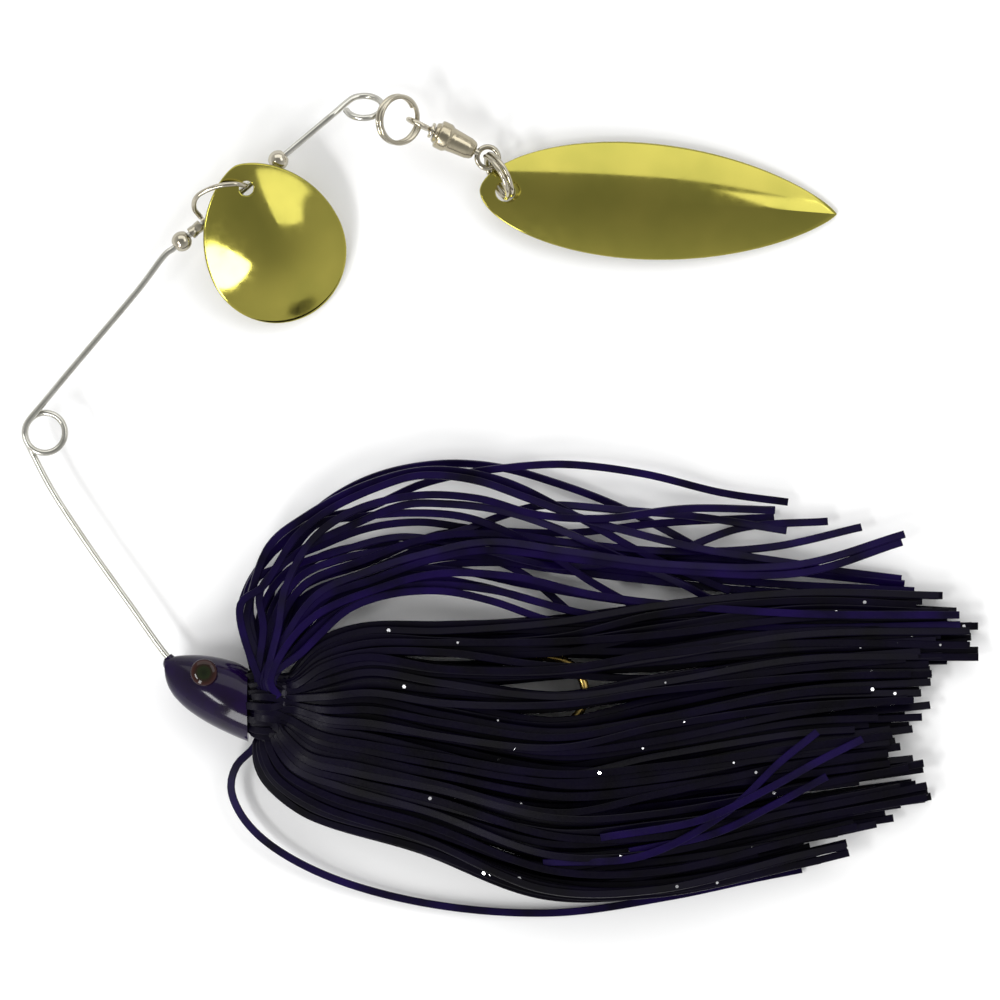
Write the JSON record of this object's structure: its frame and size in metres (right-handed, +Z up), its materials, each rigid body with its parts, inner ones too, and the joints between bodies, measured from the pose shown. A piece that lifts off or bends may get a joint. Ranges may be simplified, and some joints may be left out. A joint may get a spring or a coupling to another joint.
{
  "type": "spinnerbait",
  "caption": "Tandem-blade spinnerbait lure: bent wire arm with coiled line tie, painted head with hook and long silicone skirt, round and leaf-shaped spinner blades.",
  "frame": {"origin": "on the surface that the lure lies on, under the middle of its bounding box", "axes": "+X from the nose towards the skirt tips, +Y from the hook side to the blade side, +Z up from the surface"},
  "size_m": [0.1348, 0.1158, 0.0115],
  "materials": {
    "stainless_wire": "drawn stainless spring wire, bright, fine lengthwise draw marks",
    "nickel": "bright nickel plate, smooth",
    "swivel_nickel": "nickel plate, slightly warm, turned",
    "ball_steel": "ground and polished bearing steel",
    "blade_gold": "mirror gold plate with faint haze",
    "hook_bronze": "bronze lacquered forged wire",
    "head_paint": "glossy dark purple enamel over cast lead",
    "eye_paint": "glossy dark lacquer with a reddish brown ring and dark pupil",
    "band_rubber": "matte black rubber",
    "skirt_silicone": "satin dark purple silicone with sparse silver flakes"
  },
  "bodies": {
    "root": {"wire_form": "stainless_wire", "head": "head_paint", "hook": "hook_bronze", "eye_left": "eye_paint", "eye_right": "eye_paint", "skirt_collar": "band_rubber", "skirt_rear_01": "skirt_silicone", "skirt_rear_02": "skirt_silicone", "skirt_rear_03": "skirt_silicone", "skirt_rear_04": "skirt_silicone", "skirt_rear_05": "skirt_silicone", "skirt_rear_06": "skirt_silicone", "skirt_rear_07": "skirt_silicone", "skirt_rear_08": "skirt_silicone", "skirt_rear_09": "skirt_silicone", "skirt_rear_10": "skirt_silicone", "skirt_rear_11": "skirt_silicone", "skirt_rear_12": "skirt_silicone", "skirt_rear_13": "skirt_silicone", "skirt_rear_14": "skirt_silicone", "skirt_rear_15": "skirt_silicone", "skirt_rear_16": "skirt_silicone", "skirt_rear_17": "skirt_silicone", "skirt_rear_18": "skirt_silicone", "skirt_rear_19": "skirt_silicone", "skirt_rear_20": "skirt_silicone", "skirt_upper_01": "skirt_silicone", "skirt_upper_02": "skirt_silicone", "skirt_upper_03": "skirt_silicone", "skirt_upper_04": "skirt_silicone", "skirt_upper_05": "skirt_silicone", "skirt_upper_06": "skirt_silicone", "skirt_upper_07": "skirt_silicone", "skirt_upper_08": "skirt_silicone", "skirt_upper_09": "skirt_silicone", "skirt_upper_10": "skirt_silicone", "skirt_upper_11": "skirt_silicone", "skirt_upper_12": "skirt_silicone", "skirt_loop": "skirt_silicone"},
    "bead_lower": {"bead_lower": "nickel"},
    "bead_upper": {"bead_upper": "nickel"},
    "spacer_sleeve": {"spacer_sleeve": "nickel"},
    "clevis": {"clevis": "stainless_wire"},
    "colorado": {"colorado_blade": "blade_gold"},
    "front_ring": {"front_split_ring": "nickel"},
    "swivel_eye": {"swivel_front_eye": "nickel"},
    "swivel_barrel": {"swivel_barrel": "swivel_nickel", "swivel_rear_eye": "nickel"},
    "bearing_balls": {"bearing_ball_1": "ball_steel", "bearing_ball_2": "ball_steel", "bearing_ball_3": "ball_steel", "bearing_ball_4": "ball_steel", "bearing_ball_5": "ball_steel", "bearing_ball_6": "ball_steel"},
    "rear_ring": {"rear_split_ring": "nickel"},
    "willow": {"willow_blade": "blade_gold"}
  },
  "joints": [
    {"name": "bead_lower_spin", "type": "hinge", "parent": "root", "child": "bead_lower", "pos_m": [-0.04499, 0.03699, 0.00625], "axis": [0.766, 0.6428, 0], "continuous": true},
    {"name": "sleeve_spin", "type": "hinge", "parent": "root", "child": "spacer_sleeve", "pos_m": [-0.043, 0.03866, 0.00625], "axis": [0.766, 0.6428, 0], "continuous": true},
    {"name": "clevis_spin", "type": "hinge", "parent": "root", "child": "clevis", "pos_m": [-0.04032, 0.04091, 0.00625], "axis": [0.766, 0.6428, 0], "continuous": true},
    {"name": "colorado_swing", "type": "hinge", "parent": "clevis", "child": "colorado", "pos_m": [-0.03585, 0.04427, 0.0093], "axis": [0.8841, 0.4601, -0.082], "range_deg": [-30, 0]},
    {"name": "bead_upper_slide", "type": "slide", "parent": "root", "child": "bead_upper", "axis": [0.766, 0.6428, 0], "range_m": [0, 0.008]},
    {"name": "front_ring_swing", "type": "hinge", "parent": "root", "child": "front_ring", "pos_m": [-0.01695, 0.05577, 0.00625], "axis": [0, 0.6428, -0.766], "range_deg": [-30, 20]},
    {"name": "swivel_tilt", "type": "hinge", "parent": "front_ring", "child": "swivel_eye", "pos_m": [-0.0119, 0.0534, 0.00549], "axis": [0.4305, 0.9026, 0], "range_deg": [-30, 30]},
    {"name": "swivel_spin", "type": "hinge", "parent": "swivel_eye", "child": "swivel_barrel", "pos_m": [-0.00975, 0.05237, 0.0052], "axis": [0.8959, -0.4273, -0.1219], "continuous": true},
    {"name": "bearing_roll", "type": "hinge", "parent": "swivel_eye", "child": "bearing_balls", "pos_m": [-0.00878, 0.05191, 0.00507], "axis": [0.8959, -0.4273, -0.1219], "continuous": true},
    {"name": "rear_ring_swing", "type": "hinge", "parent": "swivel_barrel", "child": "rear_ring", "pos_m": [-0.002, 0.04867, 0.00415], "axis": [0, 0, 1], "range_deg": [-30, 0]},
    {"name": "willow_swing", "type": "hinge", "parent": "rear_ring", "child": "willow", "pos_m": [0.0002, 0.04407, 0.00345], "axis": [0.065, 0.9979, 0], "range_deg": [-10, 35]}
  ],
  "couplings": [
    {"joint": "bearing_roll", "follows": "swivel_spin", "ratio": 0.5}
  ]
}
